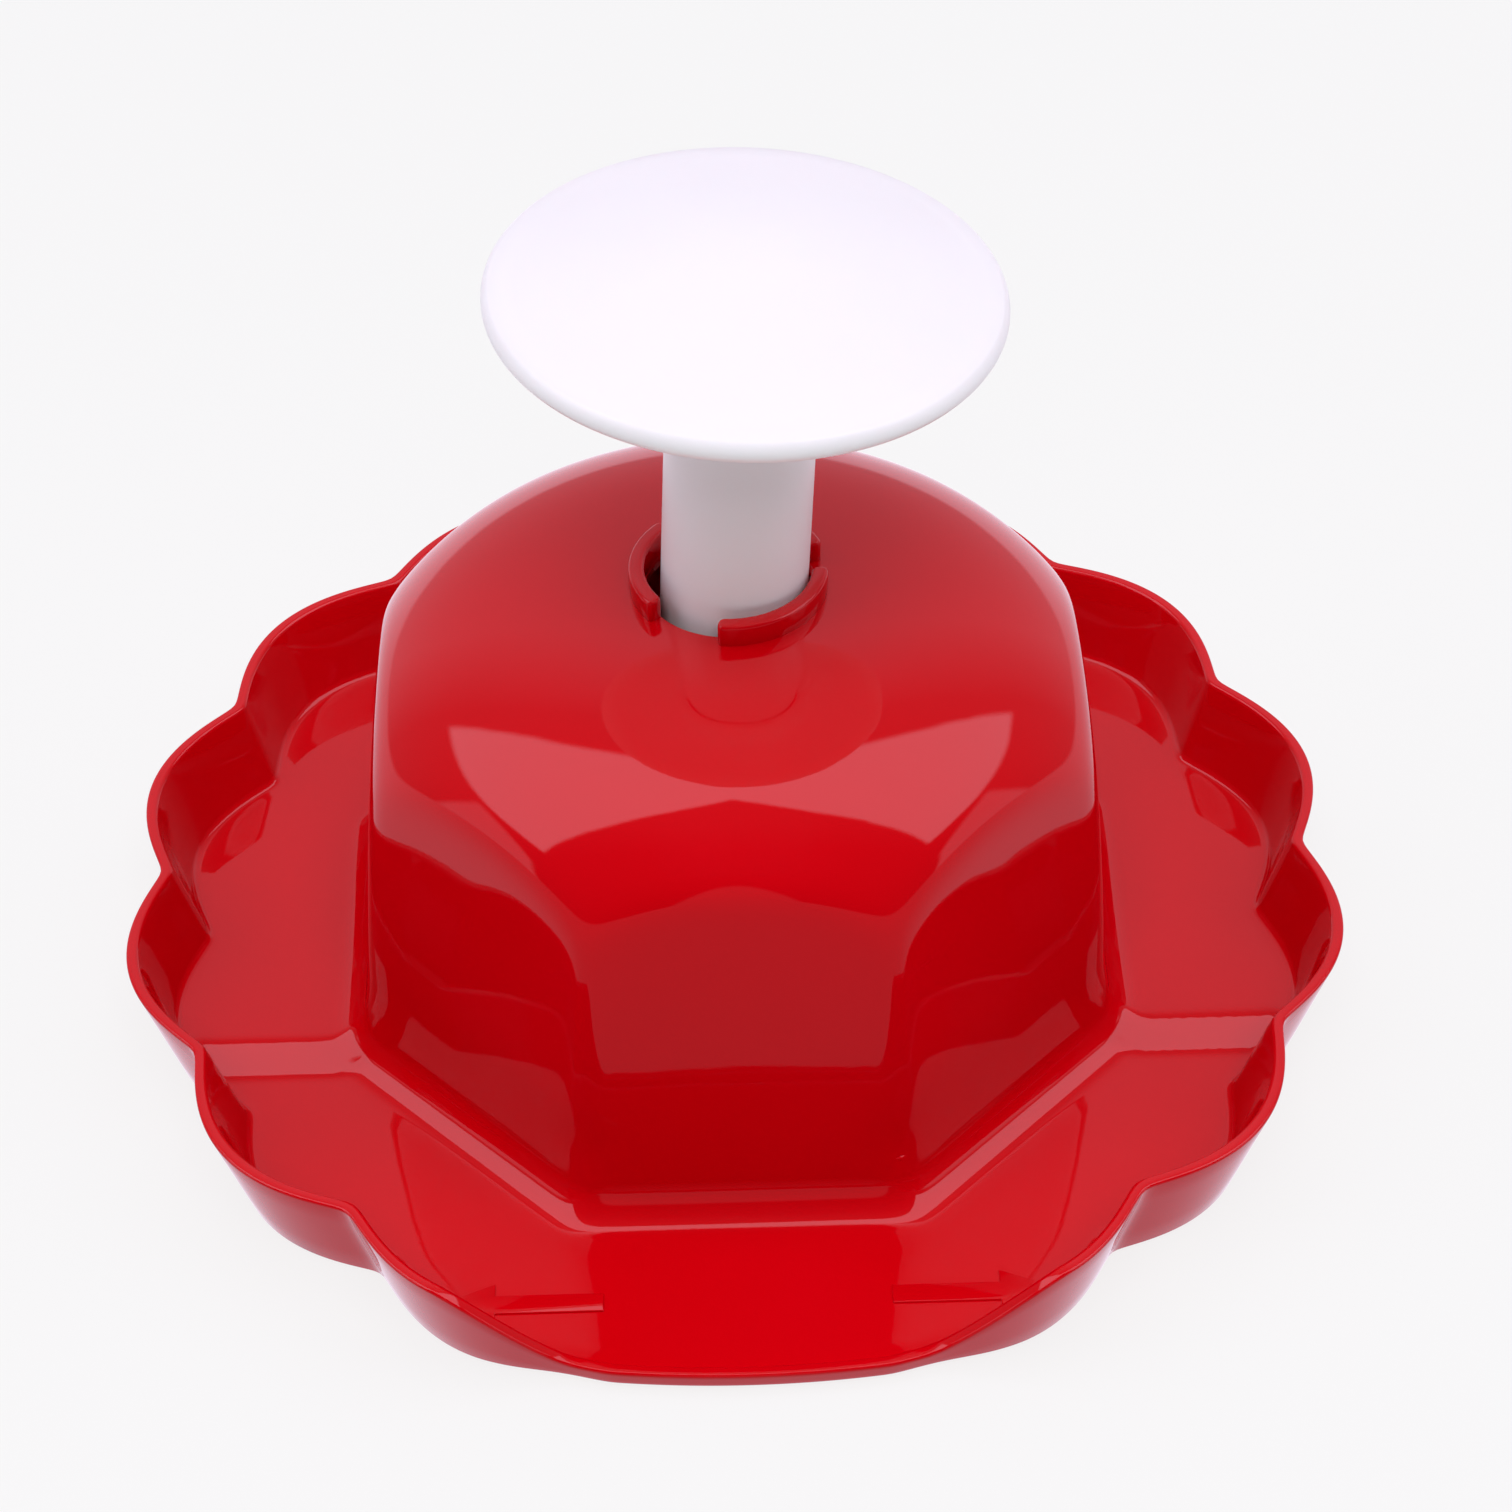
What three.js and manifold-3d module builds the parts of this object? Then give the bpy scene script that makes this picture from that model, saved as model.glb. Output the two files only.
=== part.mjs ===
// Press-down egg slicer: a scalloped tray with an octagonal well, a loose plunger and a wire cutter.
// Millimetres, +Z up. The origin is on the surface the tray stands on, under the middle of the well.
import * as THREE from "three";
import Module from "manifold-3d";
import { mergeVertices } from "three/addons/utils/BufferGeometryUtils.js";

const wasm = await Module();
wasm.setup();

// ---------- Sizes ----------

// Clearances between pieces, and how far a joined feature reaches into its neighbour.
const runningGap = 0.3;
const restGap = 0.5;
const stemHoleGap = 0.3;
const tabGap = 0.4;
const clampScrewGap = 0.2;
const embed = 0.6;

// Well: an octagon that leans in, cut off by a rounded cap.
const wellHalfWidth = 42.3;
const wellHeight = 54.2;
const wellLean = 4.9;
const wellWall = 1.6;
const wellFootFillet = 4;
const edgeSharpness = 70;
const capOverhang = 1.9;
const capRise = 33.7;
const capPower = 3;

// Tray: a ring of lobes whose wall leans outwards, cut down to a low lip at the front and the back.
// The floor is low at the front and steps up to the sides, at two distances in front of the axis.
const lobeCount = 14;
const trayWidth = 23.1;
const lobeDepth = 3.9;
const depthStretch = 0.03;
const rimHeight = 14;
const wallFlare = 0.29;
const trayWall = 1.4;
const floorThickness = 1.5;
const floorStep = 1.7;
const stepFoot = 20.8;
const stepTop = 17.3;
const lipRise = 1.2;
const lipArcRadius = 118;
const lipHeightTurn = [15.5, 27.5];
const lipOutlineTurn = [12, 24];

// Arrows raised on the front of the floor.
const arrowTip = 33;
const arrowTail = 15.2;
const arrowHeadLength = 6.4;
const arrowHeadWidth = 5.6;
const arrowShaftWidth = 2.4;
const arrowFromLip = 14.5;
const arrowRise = 0.25;

// Plunger: it rests a little off the middle of its hole, leaning on the collar.
const stemRadius = 7.9;
const stemWall = 1.8;
const stemBossLength = 9;
const plungerLean = 2.5;
const plungerPlay = 0.7;
const headHeight = 34.1;
const headRadius = 26.5;
const headCrown = 5.2;
const headShell = 2;
const headEdge = 2.8;
const headLipWidth = 3.2;
const headSocketWall = 2;
const headSocketLength = 11;

// Collar round the stem hole: three raised lips, each from one angle to another.
const collarWall = 1.8;
const collarRise = 2.4;
const collarLips = [
  [18, 100],
  [133, 218],
  [262, 356],
];

// Pusher: a ribbed plate that turns on a screw in the end of the stem.
const pusherSeat = 2.1;
const pusherPlate = 2;
const pusherHubLedge = 3.1;
const pusherHubRise = 1.8;
const pusherRibDepth = 2.5;
const pusherRibWidth = 2.6;
const pusherRimMargin = 7.5;
const pusherBossWall = 2.3;
const pusherRecess = 1.2;
const screwShankRadius = 2;
const screwHeadRadius = 3.9;
const screwHeadThickness = 1.8;
const screwLength = 12;
const washerOverhang = 0.5;
const washerThickness = 0.8;

// Cutter: wires laid in a ring, held by a second ring and four screws, locked in the well by a twist.
const cutterBottom = 1;
const cutterRingWidth = 4.2;
const cutterRingHeight = 5.3;
const clampRingHeight = 2.2;
const wireCount = 10;
const wireRadius = 0.35;
const wireMargin = 6.4;
const wireEndMargin = 1.3;
const clampScrewCount = 4;
const clampScrewRadius = 0.8;
const clampScrewHeadRadius = 1.4;
const clampScrewHeadThickness = 0.9;
const clampScrewSink = 0.1;
const clampScrewFloor = 0.8;
const lugCount = 4;
const lugReach = 2;
const lugHeight = 2;
const lugFromTop = 0.9;
const lugHalfAngle = 6;
const lugAngle = 22.5;
const tabThickness = 1.9;
const tabStopAngle = 2;

// Facets round one turn. The shell's number is a whole multiple of both the lobes and the flats.
const shellFacets = 112;
const ringFacets = 48;
const stemFacets = 32;
const smallFacets = 16;

// ---------- Small helpers ----------

const radians = THREE.MathUtils.degToRad;
const smoothstep = THREE.MathUtils.smoothstep;
const flatCount = 8;

function solve(low, high, isPast) {
  let from = low;
  let to = high;
  for (let step = 0; step < 40; step += 1) {
    const middle = (from + to) / 2;
    if (isPast(middle)) to = middle;
    else from = middle;
  }
  return (from + to) / 2;
}

function toManifold(geometry) {
  const bare = geometry.clone();
  bare.deleteAttribute("normal");
  bare.deleteAttribute("uv");
  const welded = mergeVertices(bare, 1e-4);
  const mesh = new wasm.Mesh({
    numProp: 3,
    vertProperties: new Float32Array(welded.attributes.position.array),
    triVerts: new Uint32Array(welded.index.array),
  });
  return new wasm.Manifold(mesh);
}

function toGeometry(solid) {
  const mesh = solid.getMesh();
  const geometry = new THREE.BufferGeometry();
  geometry.setAttribute("position", new THREE.BufferAttribute(mesh.vertProperties, 3));
  geometry.setIndex(new THREE.BufferAttribute(mesh.triVerts, 1));
  geometry.computeVertexNormals();
  return geometry;
}

// A turned piece. The profile is [radius, height] points, closed or starting and ending on the axis.
function turned(profile, facets) {
  const points = profile.map(([radius, height]) => new THREE.Vector2(radius, height));
  const geometry = new THREE.LatheGeometry(points, facets);
  geometry.rotateX(Math.PI / 2);
  return geometry;
}

function ringBand(innerRadius, outerRadius, bottom, top, facets) {
  const profile = [
    [innerRadius, bottom],
    [outerRadius, bottom],
    [outerRadius, top],
    [innerRadius, top],
    [innerRadius, bottom],
  ];
  return turned(profile, facets);
}

function disc(radius, bottom, top, facets) {
  const geometry = new THREE.CylinderGeometry(radius, radius, top - bottom, facets);
  geometry.rotateX(Math.PI / 2);
  geometry.translate(0, 0, (bottom + top) / 2);
  return geometry;
}

function block(width, depth, bottom, top, x, y) {
  const geometry = new THREE.BoxGeometry(width, depth, top - bottom);
  geometry.translate(x, y, (bottom + top) / 2);
  return geometry;
}

// A piece of a flat ring between two angles.
function arcBand(innerRadius, outerRadius, bottom, top, fromDegrees, toDegrees) {
  const from = radians(fromDegrees);
  const to = radians(toDegrees);
  const outline = new THREE.Shape();
  outline.absarc(0, 0, outerRadius, from, to, false);
  outline.absarc(0, 0, innerRadius, to, from, true);
  const segments = Math.max(4, Math.round((toDegrees - fromDegrees) / 6));
  const geometry = new THREE.ExtrudeGeometry(outline, {
    depth: top - bottom,
    bevelEnabled: false,
    curveSegments: segments,
  });
  geometry.translate(0, 0, bottom);
  return geometry;
}

// One closed skin through a list of rings. The last ring joins the first, round the hole in the middle.
function skin(rings) {
  const count = rings[0].length;
  const positions = rings.flat(2);
  const triangles = [];
  for (let ring = 0; ring < rings.length; ring += 1) {
    const next = (ring + 1) % rings.length;
    for (let step = 0; step < count; step += 1) {
      const beside = (step + 1) % count;
      const a = ring * count + step;
      const b = ring * count + beside;
      const c = next * count + beside;
      const d = next * count + step;
      triangles.push(a, d, b, b, d, c);
    }
  }
  const geometry = new THREE.BufferGeometry();
  geometry.setAttribute("position", new THREE.Float32BufferAttribute(positions, 3));
  geometry.setIndex(triangles);
  return geometry;
}

function ringOfPoints(radiusAt, heightAt) {
  const points = [];
  for (let step = 0; step < shellFacets; step += 1) {
    const angle = (2 * Math.PI * step) / shellFacets;
    const radius = radiusAt(angle);
    points.push([radius * Math.cos(angle), radius * Math.sin(angle), heightAt(angle)]);
  }
  return points;
}

// ---------- Sizes that follow from others ----------

// Well and tray.
const rimValleyRadius = wellHalfWidth + trayWidth;
const lipReach = rimValleyRadius + lobeDepth;
const capRadius = wellHalfWidth + capOverhang;
const capBase = wellHeight - capRise;
const stemHoleRadius = stemRadius + plungerPlay + stemHoleGap;
const collarHeight = wellHeight + collarRise;
const arrowFromAxis = lipReach - arrowFromLip;

// Heights in the cutter.
const cutterTop = cutterBottom + cutterRingHeight;
const wireLevel = cutterTop - wireRadius;
const clampBottom = cutterTop + runningGap;
const clampTop = clampBottom + clampRingHeight;
const clampScrewTop = clampTop - clampScrewSink;
const clampScrewHeadBottom = clampScrewTop - clampScrewHeadThickness;
const clampScrewTip = cutterBottom + clampScrewFloor + runningGap;
const lugBottom = cutterTop - lugFromTop - lugHeight;
const lugTop = lugBottom + lugHeight;
const tabBottom = lugBottom - runningGap - tabThickness;
const tabTop = lugTop + runningGap + tabThickness;

// The lugs clear the flats of the well all the way up the cutter.
const cutterOuterRadius = wellHalfWidthAt(clampTop, wellWall) - runningGap - lugReach;
const cutterInnerRadius = cutterOuterRadius - cutterRingWidth;
const screwCircle = (cutterInnerRadius + cutterOuterRadius) / 2;
const wireEndRadius = cutterOuterRadius - wireEndMargin;
const wirePitch = (2 * (cutterInnerRadius - wireMargin)) / (wireCount - 1);
const tabInnerRadius = cutterOuterRadius + tabGap;

// Plunger and pusher, along their own axis with zero at the top of the collar.
const stemTop = headHeight;
const pusherRadius = cutterInnerRadius + pusherSeat;
const pusherTilt = pusherRadius * Math.sin(radians(plungerLean));
const pusherBottom = clampTop + restGap + pusherTilt - collarHeight;
const pusherTop = pusherBottom + pusherPlate;
const pusherHubTop = pusherTop + pusherHubRise;
const pusherHubRadius = stemRadius + pusherHubLedge;
const recessTop = pusherBottom + pusherRecess;
const washerRadius = screwHeadRadius + washerOverhang;
const pusherBossRadius = washerRadius + runningGap + pusherBossWall;
const screwHeadTop = recessTop - 2 * runningGap - washerThickness;
const screwTip = screwHeadTop + screwLength;
const stemBottom = pusherHubTop + runningGap;

// ---------- Tray outline ----------

// Degrees between a direction and the nearer of front and back.
function fromFrontOrBack(angle) {
  return THREE.MathUtils.radToDeg(Math.acos(Math.min(1, Math.abs(Math.sin(angle)))));
}

function lipOutline(angle) {
  const turn = radians(fromFrontOrBack(angle));
  const centreOffset = lipArcRadius - lipReach;
  const across = centreOffset * Math.sin(turn);
  return Math.sqrt(lipArcRadius ** 2 - across ** 2) - centreOffset * Math.cos(turn);
}

function lobedOutline(angle) {
  const lobe = Math.abs(Math.sin((lobeCount / 2) * angle));
  const stretch = 1 + depthStretch * Math.sin(angle) ** 2;
  return (rimValleyRadius + lobeDepth * lobe) * stretch;
}

// Outside of the tray wall at a height. Every outline is set at rim height and leans in below it.
function trayRadius(angle, height) {
  const lobed = smoothstep(fromFrontOrBack(angle), ...lipOutlineTurn);
  const outline = lobed * lobedOutline(angle) + (1 - lobed) * lipOutline(angle);
  return outline - wallFlare * (rimHeight - height);
}

// Top of the tray floor at a place in the tray.
function floorLevel(angle, radius) {
  const ahead = -radius * Math.sin(angle);
  const raised = THREE.MathUtils.clamp((stepFoot - ahead) / (stepFoot - stepTop), 0, 1);
  return floorThickness + floorStep * raised;
}

function rimLevel(angle) {
  const lipLevel = floorLevel(angle, lipReach) + lipRise;
  return lipLevel + (rimHeight - lipLevel) * smoothstep(fromFrontOrBack(angle), ...lipHeightTurn);
}

// ---------- Well surface ----------

// Distance to an octagon whose corners are slightly rounded.
function octagonRadius(angle, halfWidth) {
  let sum = 0;
  for (let flat = 0; flat < flatCount; flat += 1) {
    const facing = Math.cos(angle - (2 * Math.PI * flat) / flatCount);
    sum += Math.max(0, facing) ** edgeSharpness;
  }
  return halfWidth / sum ** (1 / edgeSharpness);
}

function wellHalfWidthAt(height, inset) {
  return wellHalfWidth - inset - height * Math.tan(radians(wellLean));
}

function capReach(radius, height, inset) {
  const across = radius / (capRadius - inset);
  const up = Math.max(0, height - capBase) / (capRise - inset);
  return (across ** capPower + up ** capPower) ** (1 / capPower);
}

function isOutsideWell(angle, radius, height, inset) {
  const flats = radius / octagonRadius(angle, wellHalfWidthAt(height, inset));
  const cap = capReach(radius, height, inset);
  return flats ** edgeSharpness + cap ** edgeSharpness > 1;
}

function wellRadius(angle, height, inset) {
  return solve(0, wellHalfWidth * 1.2, (radius) => isOutsideWell(angle, radius, height, inset));
}

function wellLevel(angle, radius, inset) {
  return solve(capBase, capBase + capRise, (height) => isOutsideWell(angle, radius, height, inset));
}

// Height at which the leaning flats meet the cap.
function creaseLevel(angle, inset) {
  return solve(capBase, capBase + capRise, (height) => {
    const radius = octagonRadius(angle, wellHalfWidthAt(height, inset));
    return capReach(radius, height, inset) > 1;
  });
}

// Rings from a lower height up the flats, over the crease and in to the stem hole.
function wellRings(inset, bottomAt, flatSteps, capSteps) {
  const rings = [];
  for (const share of flatSteps) {
    const level = (angle) => bottomAt(angle) * (1 - share) + creaseLevel(angle, inset) * share;
    rings.push(ringOfPoints((angle) => wellRadius(angle, level(angle), inset), level));
  }
  for (const share of capSteps) {
    const radius = (angle) => {
      const atCrease = wellRadius(angle, creaseLevel(angle, inset), inset);
      return stemHoleRadius + (atCrease - stemHoleRadius) * share;
    };
    rings.push(ringOfPoints(radius, (angle) => wellLevel(angle, radius(angle), inset)));
  }
  return rings;
}

// Where the well's foot ends on the tray floor.
function footRadius(angle) {
  return octagonRadius(angle, wellHalfWidthAt(floorThickness, 0) + wellFootFillet);
}

function footLevel(angle) {
  return floorLevel(angle, footRadius(angle));
}

// The concave fillet where the well stands on the tray floor, from the well down to the floor.
function footRings(steps) {
  const rings = [];
  for (let step = 0; step <= steps; step += 1) {
    const turn = (Math.PI / 2) * (step / steps);
    const outset = wellFootFillet * (1 - Math.cos(turn));
    const level = (angle) => footLevel(angle) + wellFootFillet * (1 - Math.sin(turn));
    const radius = (angle) => octagonRadius(angle, wellHalfWidthAt(level(angle), 0) + outset);
    rings.push(ringOfPoints(radius, level));
  }
  return rings;
}

// The tray floor, from the well's foot out to the wall.
function floorRings(shares) {
  return shares.map((share) => {
    const radius = (angle) => {
      const end = trayRadius(angle, floorThickness) - trayWall;
      return footRadius(angle) * (1 - share) + end * share;
    };
    return ringOfPoints(radius, (angle) => floorLevel(angle, radius(angle)));
  });
}

// ---------- Housing ----------

function housingShell() {
  const rings = [];
  const ground = () => 0;
  rings.push(...wellRings(0, ground, [], [0, 0.35, 0.6, 0.8, 0.92, 0.98]));
  rings.push(...wellRings(0, (angle) => footLevel(angle) + wellFootFillet, [1, 0.96, 0.85, 0.5], []));
  rings.push(...footRings(3));
  rings.push(...floorRings([0.35, 0.7]));
  const wallFoot = (angle) => floorLevel(angle, trayRadius(angle, floorThickness) - trayWall);
  rings.push(ringOfPoints((angle) => trayRadius(angle, wallFoot(angle)) - trayWall, wallFoot));
  const rimInside = (angle) => trayRadius(angle, rimLevel(angle)) - trayWall;
  rings.push(ringOfPoints(rimInside, rimLevel));
  rings.push(ringOfPoints((angle) => trayRadius(angle, rimLevel(angle)), rimLevel));
  rings.push(ringOfPoints((angle) => trayRadius(angle, 0), ground));
  rings.push(...wellRings(wellWall, ground, [0, 0.5, 0.93, 1], [0.93, 0.7, 0.35, 0]));
  return skin(rings);
}

function arrow(side) {
  const neck = arrowTip - arrowHeadLength;
  const outline = new THREE.Shape();
  outline.moveTo(side * arrowTip, 0);
  outline.lineTo(side * neck, arrowHeadWidth / 2);
  outline.lineTo(side * neck, arrowShaftWidth / 2);
  outline.lineTo(side * arrowTail, arrowShaftWidth / 2);
  outline.lineTo(side * arrowTail, -arrowShaftWidth / 2);
  outline.lineTo(side * neck, -arrowShaftWidth / 2);
  outline.lineTo(side * neck, -arrowHeadWidth / 2);
  outline.closePath();
  const depth = embed + arrowRise;
  const geometry = new THREE.ExtrudeGeometry(outline, { depth, bevelEnabled: false });
  geometry.translate(0, -arrowFromAxis, floorThickness - embed);
  return geometry;
}

// A channel inside one corner of the well: two ledges, and a stop that joins them at one end.
function bayonetTab(angle) {
  const inner = tabInnerRadius;
  const outer = rimValleyRadius;
  const stop = angle + lugHalfAngle + restGap;
  const start = angle - lugHalfAngle - restGap;
  const end = stop + tabStopAngle;
  const lower = toManifold(arcBand(inner, outer, tabBottom, lugBottom - runningGap, start, end));
  const upper = toManifold(arcBand(inner, outer, lugTop + runningGap, tabTop, start, end));
  const wall = toManifold(arcBand(inner, outer, tabBottom, tabTop, stop, end));
  return lower.add(upper).add(wall);
}

function housing() {
  let solid = toManifold(housingShell());
  const lipBottom = wellHeight - wellWall;
  for (const [from, to] of collarLips) {
    const outer = stemHoleRadius + collarWall;
    solid = solid.add(toManifold(arcBand(stemHoleRadius, outer, lipBottom, collarHeight, from, to)));
  }
  for (const side of [-1, 1]) {
    solid = solid.add(toManifold(arrow(side)));
  }
  const tabReach = wellHalfWidthAt(tabTop, 0) - embed;
  const wellCore = disc(tabReach / Math.cos(Math.PI / flatCount), 0, tabTop + 1, flatCount);
  wellCore.rotateZ(Math.PI / flatCount);
  const core = toManifold(wellCore);
  for (let tab = 0; tab < lugCount; tab += 1) {
    solid = solid.add(bayonetTab(lugAngle + (360 * tab) / lugCount).intersect(core));
  }
  return toGeometry(solid);
}

// ---------- Plunger ----------

function plungerHead() {
  const crownAt = (radius) => headCrown * (1 - (radius / headRadius) ** 2);
  const socketRadius = stemRadius + runningGap;
  const bossRadius = socketRadius + headSocketWall;
  const ceiling = stemTop + runningGap;
  const profile = [[0, stemTop + headCrown]];
  const crownSteps = 5;
  for (let step = 1; step < crownSteps; step += 1) {
    const radius = ((headRadius - headEdge / 2) * step) / crownSteps;
    profile.push([radius, stemTop + crownAt(radius)]);
  }
  for (let step = 0; step <= 4; step += 1) {
    const turn = Math.PI / 2 - (Math.PI * step) / 4;
    const radius = headRadius - headEdge / 2 + (headEdge / 2) * Math.cos(turn);
    profile.push([radius, stemTop + (headEdge / 2) * Math.sin(turn)]);
  }
  profile.push([headRadius - headLipWidth, stemTop - headEdge / 2]);
  profile.push([headRadius * 0.7, stemTop + crownAt(headRadius * 0.7) - headShell]);
  profile.push([bossRadius, stemTop + crownAt(bossRadius) - headShell]);
  profile.push([bossRadius, ceiling - headSocketLength]);
  profile.push([socketRadius, ceiling - headSocketLength]);
  profile.push([socketRadius, ceiling]);
  profile.push([0, ceiling]);
  return turned(profile.reverse(), ringFacets);
}

function plungerStem() {
  const boreRadius = stemRadius - stemWall;
  const screwHole = screwShankRadius + runningGap;
  const profile = [
    [0, screwTip + runningGap],
    [screwHole, screwTip + runningGap],
    [screwHole, stemBottom],
    [stemRadius - embed, stemBottom],
    [stemRadius, stemBottom + embed],
    [stemRadius, stemTop],
    [boreRadius, stemTop],
    [boreRadius, stemBottom + stemBossLength + screwHole],
    [0, stemBottom + stemBossLength + screwHole],
  ];
  return turned(profile, stemFacets);
}

function pusherPlateSolid() {
  const holeRadius = screwShankRadius + runningGap;
  const recessRadius = washerRadius + runningGap;
  const ribBottom = pusherBottom - pusherRibDepth;
  const profile = [
    [holeRadius, recessTop],
    [recessRadius, recessTop],
    [recessRadius, ribBottom],
    [pusherBossRadius, ribBottom],
    [pusherBossRadius, pusherBottom],
    [pusherRadius, pusherBottom],
    [pusherRadius, pusherTop],
    [pusherHubRadius, pusherTop],
    [pusherHubRadius - pusherHubRise, pusherHubTop],
    [holeRadius, pusherHubTop],
    [holeRadius, recessTop],
  ];
  let solid = toManifold(turned(profile, ringFacets));
  const boss = toManifold(disc(pusherBossRadius - embed, ribBottom - 1, recessTop, stemFacets));
  const ribReach = pusherRadius - pusherRimMargin;
  const sideRibs = Math.floor(ribReach / wirePitch);
  for (let rib = -sideRibs; rib <= sideRibs; rib += 1) {
    const x = rib * wirePitch;
    const length = 2 * Math.sqrt(ribReach ** 2 - x ** 2);
    const bar = toManifold(block(pusherRibWidth, length, ribBottom, pusherBottom + embed, x, 0));
    solid = solid.add(bar.subtract(boss));
  }
  return toGeometry(solid);
}

function pusherScrew() {
  const headBottom = screwHeadTop - screwHeadThickness;
  const profile = [
    [0, headBottom],
    [screwHeadRadius - embed, headBottom],
    [screwHeadRadius, headBottom + embed],
    [screwHeadRadius, screwHeadTop],
    [screwShankRadius, screwHeadTop],
    [screwShankRadius, screwTip - embed],
    [screwShankRadius - embed, screwTip],
    [0, screwTip],
  ];
  return turned(profile, smallFacets);
}

function pusherWasher() {
  const holeRadius = screwShankRadius + runningGap;
  const bottom = screwHeadTop + runningGap;
  return ringBand(holeRadius, washerRadius, bottom, bottom + washerThickness, smallFacets);
}

// ---------- Cutter ----------

function clampScrewAngles() {
  return Array.from({ length: clampScrewCount }, (_, index) => (2 * Math.PI * index) / clampScrewCount);
}

function wirePositions() {
  return Array.from({ length: wireCount }, (_, index) => (index - (wireCount - 1) / 2) * wirePitch);
}

function cutterRing() {
  const band = ringBand(cutterInnerRadius, cutterOuterRadius, cutterBottom, cutterTop, ringFacets);
  let solid = toManifold(band);
  const lugOuter = cutterOuterRadius + lugReach;
  for (let lug = 0; lug < lugCount; lug += 1) {
    const angle = lugAngle + (360 * lug) / lugCount;
    const from = angle - lugHalfAngle;
    const to = angle + lugHalfAngle;
    const inner = cutterOuterRadius - embed;
    solid = solid.add(toManifold(arcBand(inner, lugOuter, lugBottom, lugTop, from, to)));
  }
  for (const x of wirePositions()) {
    const reach = Math.sqrt((wireEndRadius + runningGap) ** 2 - x ** 2);
    const width = 2 * (wireRadius + runningGap);
    const floor = wireLevel - wireRadius - runningGap;
    solid = solid.subtract(toManifold(block(width, 2 * reach, floor, cutterTop + 1, x, 0)));
  }
  for (const angle of clampScrewAngles()) {
    const bottom = clampScrewTip - runningGap;
    const hole = disc(clampScrewRadius + runningGap, bottom, cutterTop + 1, smallFacets);
    hole.translate(screwCircle * Math.cos(angle), screwCircle * Math.sin(angle), 0);
    solid = solid.subtract(toManifold(hole));
  }
  return toGeometry(solid);
}

function wireClampRing() {
  const band = ringBand(cutterInnerRadius, cutterOuterRadius, clampBottom, clampTop, ringFacets);
  let solid = toManifold(band);
  for (const angle of clampScrewAngles()) {
    const x = screwCircle * Math.cos(angle);
    const y = screwCircle * Math.sin(angle);
    const hole = disc(clampScrewRadius + runningGap, clampBottom - 1, clampTop + 1, smallFacets);
    const seat = clampScrewHeadBottom - runningGap;
    const recess = disc(clampScrewHeadRadius + clampScrewGap, seat, clampTop + 1, smallFacets);
    hole.translate(x, y, 0);
    recess.translate(x, y, 0);
    solid = solid.subtract(toManifold(hole)).subtract(toManifold(recess));
  }
  return toGeometry(solid);
}

function wire(x) {
  const length = 2 * Math.sqrt(wireEndRadius ** 2 - x ** 2);
  const geometry = new THREE.CylinderGeometry(wireRadius, wireRadius, length, 8);
  geometry.translate(x, 0, wireLevel);
  return geometry;
}

function clampScrew(angle) {
  const profile = [
    [0, clampScrewTip],
    [clampScrewRadius, clampScrewTip],
    [clampScrewRadius, clampScrewHeadBottom],
    [clampScrewHeadRadius, clampScrewHeadBottom],
    [clampScrewHeadRadius, clampScrewTop],
    [0, clampScrewTop],
  ];
  const geometry = turned(profile, smallFacets);
  geometry.translate(screwCircle * Math.cos(angle), screwCircle * Math.sin(angle), 0);
  return geometry;
}

// ---------- Materials ----------

const redPlastic = new THREE.MeshStandardMaterial({ color: 0xc8000e, roughness: 0.18, metalness: 0 });
const whitePlastic = new THREE.MeshStandardMaterial({ color: 0xf4f3f8, roughness: 0.35, metalness: 0 });
const steel = new THREE.MeshStandardMaterial({ color: 0xb9bcc0, roughness: 0.3, metalness: 1 });

// ---------- Assembly ----------

function named(name, geometry, material) {
  const mesh = new THREE.Mesh(geometry, material);
  mesh.name = name;
  return mesh;
}

const group = new THREE.Group();
group.add(named("housing", housing(), redPlastic));

const plunger = new THREE.Group();
plunger.position.set(plungerPlay, 0, collarHeight);
plunger.rotation.y = radians(plungerLean);
plunger.add(named("plunger_head", plungerHead(), whitePlastic));
plunger.add(named("plunger_stem", plungerStem(), whitePlastic));
plunger.add(named("pusher_plate", pusherPlateSolid(), whitePlastic));
plunger.add(named("pusher_screw", pusherScrew(), steel));
plunger.add(named("pusher_washer", pusherWasher(), steel));
group.add(plunger);

group.add(named("cutter_ring", cutterRing(), whitePlastic));
group.add(named("wire_clamp_ring", wireClampRing(), whitePlastic));
wirePositions().forEach((x, index) => {
  group.add(named(`wire_${index + 1}`, wire(x), steel));
});
clampScrewAngles().forEach((angle, index) => {
  group.add(named(`clamp_screw_${index + 1}`, clampScrew(angle), steel));
});

export default group;
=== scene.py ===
"""Looks of the press-down egg slicer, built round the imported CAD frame. Metres, +Z up."""
import math

import bpy
import numpy as np
from mathutils import Matrix, Vector


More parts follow.
